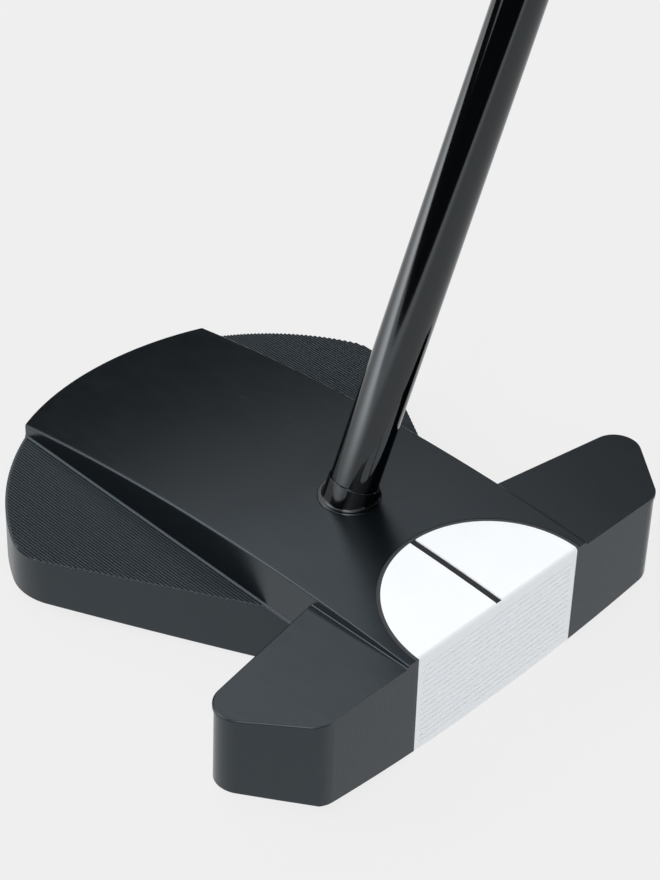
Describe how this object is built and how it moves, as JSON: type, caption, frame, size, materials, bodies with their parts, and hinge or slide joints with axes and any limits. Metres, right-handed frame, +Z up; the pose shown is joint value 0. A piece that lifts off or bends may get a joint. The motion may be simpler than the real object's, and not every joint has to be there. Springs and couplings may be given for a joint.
{
  "type": "mallet putter",
  "caption": "Right-handed mallet putter: black milled head with ribbed wings, white half-disc face insert, leaning steel shaft and rubber grip.",
  "frame": {"origin": "on the sole's resting flat, on the head's middle plane, under where the shaft enters the crown", "axes": "+Z up, the face looks along -Y and the round tail is towards +Y, the toe is towards -X and the heel, to which the shaft leans, towards +X"},
  "size_m": [0.3569, 0.1103, 0.8161],
  "materials": {
    "crown_black": "satin black anodised, milled face",
    "wing_black": "satin black anodised, fine ribs on top",
    "sole_black": "satin black anodised",
    "screw_steel": "black oxide steel",
    "weight_steel": "turned steel",
    "washer_rubber": "matte",
    "plug_steel": "turned heavy metal",
    "insert_white": "satin white urethane",
    "line_black": "matte paint fill",
    "core_plastic": "moulded",
    "seal_grey": "matte",
    "collar_black": "gloss",
    "epoxy_grey": "set adhesive",
    "shaft_black": "gloss black",
    "plug_plastic": "moulded",
    "tape_white": "two-sided tape",
    "grip_rubber": "matte, fine texture",
    "cap_rubber": "matte"
  },
  "bodies": {
    "root": {"head_body": "crown_black", "toe_wing": "wing_black", "heel_wing": "wing_black", "keel": "sole_black", "wing_screws": "screw_steel", "keel_screws": "screw_steel", "core_screws": "screw_steel", "toe_weight": "weight_steel", "heel_weight": "weight_steel", "weight_washers": "washer_rubber", "toe_tail_plug": "plug_steel", "heel_tail_plug": "plug_steel", "face_insert": "insert_white", "alignment_line": "line_black", "insert_core": "core_plastic", "insert_seal": "seal_grey", "shaft_collar": "collar_black", "bond_sleeve": "epoxy_grey", "shaft": "shaft_black", "tip_plug": "plug_plastic", "grip_tape": "tape_white", "grip": "grip_rubber", "grip_cap": "cap_rubber"}
  },
  "joints": []
}
